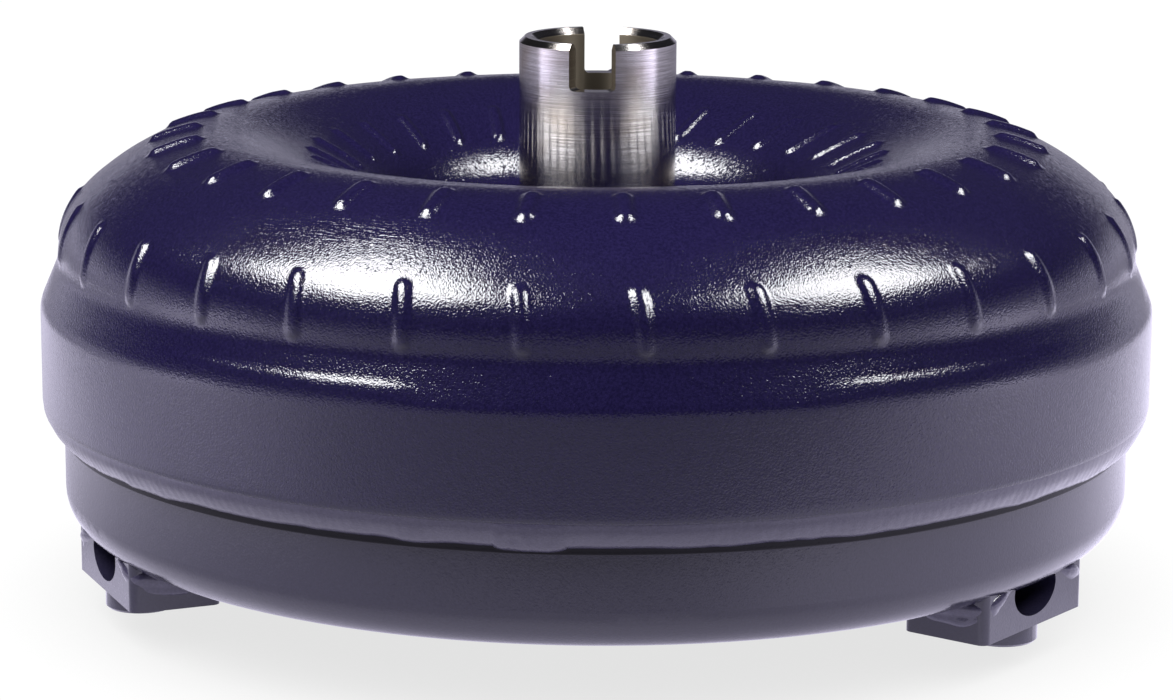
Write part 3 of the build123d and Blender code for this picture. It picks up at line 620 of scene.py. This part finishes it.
def floor_glow(tree, x, y):
    """Glow of the floor by region: brighter round the object than out in front."""

    def rise(value, start, end, height):
        return map_range(tree, value, source=(start, end), target=(0, height),
                         interpolation_type="SMOOTHSTEP")

    def axis_distance():
        squares = calc(tree, "ADD", calc(tree, "POWER", x, 2.0), calc(tree, "POWER", y, 2.0))
        return calc(tree, "SQRT", squares, 0.0)

    minus_x = calc(tree, "MULTIPLY", x, -1.0)
    near = rise(y, -0.43, -0.24, 1.0)
    right = rise(x, 0.03, 0.20, 0.50)
    left = rise(minus_x, 0.22, 0.36, 0.34)
    ring = rise(calc(tree, "MULTIPLY", axis_distance(), -1.0), -0.225, -0.175, 0.40)
    total = calc(tree, "ADD", calc(tree, "ADD", right, left), ring)
    total = calc(tree, "MULTIPLY", near, calc(tree, "ADD", total, 0.36))
    # farther out: dimmer behind, brighter in a belt beside and ahead of the object
    wide = rise(axis_distance(), 0.60, 0.78, 1.0)
    behind = calc(tree, "MULTIPLY", wide, rise(y, 0.0, 0.26, 0.80))
    belt = calc(tree, "SUBTRACT", rise(y, -0.70, -0.48, 0.9), rise(y, -0.06, 0.2, 0.9))
    beside = calc(tree, "MULTIPLY", wide, belt)
    kept = calc(tree, "MULTIPLY", total, calc(tree, "SUBTRACT", 1.0, behind))
    total = calc(tree, "ADD", kept, beside)
    far = rise(calc(tree, "ABSOLUTE", x, 0.0), 0.9, 3.2, 1.0)
    return calc(tree, "ADD", total, far)


def floor_material():
    """The camera sees an even floor with contact shade; other rays see the glow."""
    material, tree, bsdf = new_material("pale_floor")
    set_inputs(tree, bsdf, {"Base Color": (0.152, 0.146, 0.180, 1), "Roughness": 0.95,
                            "Specular IOR Level": 0.1})
    occlusion = add_node(tree, "AmbientOcclusion", {"Distance": 0.16}, samples=12)
    shade = map_range(tree, occlusion.outputs["AO"], source=(0.10, 0.74), target=(0.76, 1.03))
    plain = add_node(tree, "Emission", {"Strength": shade})
    position = add_node(tree, "NewGeometry").outputs["Position"]
    place = add_node(tree, "SeparateXYZ", {0: position}).outputs
    glow = add_node(tree, "Emission", {"Color": (0.93, 0.88, 1.12, 1),
                                       "Strength": floor_glow(tree, place["X"], place["Y"])})
    both = add_node(tree, "AddShader", {0: bsdf.outputs[0], 1: glow.outputs[0]})
    is_camera = add_node(tree, "LightPath").outputs["Is Camera Ray"]
    swap = add_node(tree, "MixShader", {0: is_camera, 1: both.outputs[0], 2: plain.outputs[0]})
    set_inputs(tree, tree.nodes["Material Output"], {"Surface": swap.outputs[0]})
    return material


floor_mesh = bpy.data.meshes.new("floor")
corners = [(x * FLOOR_HALF, y * FLOOR_HALF, 0) for x, y in ((-1, -1), (1, -1), (1, 1), (-1, 1))]
floor_mesh.from_pydata(corners, [], [(0, 1, 2, 3)])
floor = link_object("floor", floor_mesh)
floor.location.z = cad_box[0][2] - FLOOR_GAP
floor_mesh.materials.append(floor_material())


# ------------------------------------------------------------------ world
def build_world():
    """White to the camera; to other rays a pale horizon fading to a dark sky."""
    world = bpy.data.worlds.new("studio")
    scene.world = world
    world.use_nodes = True
    tree = world.node_tree
    sky = tree.nodes["Background"]
    direction = add_node(tree, "TexCoord").outputs["Generated"]
    height = add_node(tree, "SeparateXYZ", {0: direction}).outputs["Z"]
    ramp = add_node(tree, "ValToRGB")
    horizon, top = ramp.color_ramp.elements
    horizon.position = 0.52
    horizon.color = (0.50, 0.485, 0.60, 1)
    top.position = 0.61
    top.color = (0.025, 0.025, 0.03, 1)
    set_inputs(tree, ramp, {"Fac": map_range(tree, height, source=(-1, 1))})
    set_inputs(tree, sky, {"Color": ramp.outputs["Color"]})
    white = add_node(tree, "Background", {"Color": (1, 1, 1, 1), "Strength": 1.05})
    is_camera = add_node(tree, "LightPath").outputs["Is Camera Ray"]
    swap = add_node(tree, "MixShader", {0: is_camera, 1: sky.outputs[0], 2: white.outputs[0]})
    set_inputs(tree, tree.nodes["World Output"], {"Surface": swap.outputs[0]})


build_world()


# ------------------------------------------------------------------ lights
SOFTBOX_Z = 1.435


def softbox(name, x_span, y_span, radiance):
    light = bpy.data.lights.new(name, "AREA")
    light.shape = "RECTANGLE"
    light.size = x_span[1] - x_span[0]
    light.size_y = y_span[1] - y_span[0]
    light.energy = radiance * math.pi * light.size * light.size_y
    obj = link_object(name, light)
    obj.location = (sum(x_span) / 2, sum(y_span) / 2, SOFTBOX_Z)


softbox("softbox_left", x_span=(-1.50, -0.48), y_span=(-1.05, 0.16), radiance=19.0)
softbox("softbox_right", x_span=(0.67, 1.60), y_span=(-0.95, 0.18), radiance=15.5)

# ------------------------------------------------------------------ camera
CAMERA_DOWN = 11.767  # degrees below level
CAMERA_ROLL = 0.325  # degrees about the view axis

lens = bpy.data.cameras.new("camera")
lens.sensor_width = 36.0
lens.sensor_fit = "HORIZONTAL"
lens.lens = 117.296164
lens.shift_x = -0.00838
lens.shift_y = -0.01933
lens.clip_start = 0.05
lens.clip_end = 60
camera = bpy.data.objects.new("camera", lens)
camera.location = (0, -1.1494, 0.3120)
aim = Euler((math.radians(90 - CAMERA_DOWN), 0, 0)).to_matrix()
roll = Matrix.Rotation(math.radians(CAMERA_ROLL), 3, "Z")
camera.rotation_euler = (aim @ roll).to_euler()
scene.collection.objects.link(camera)
scene.camera = camera

scene.view_settings.view_transform = "Standard"
scene.view_settings.look = "None"
scene.view_settings.exposure = 0.0
scene.view_settings.gamma = 1.0

bpy.context.view_layer.update()
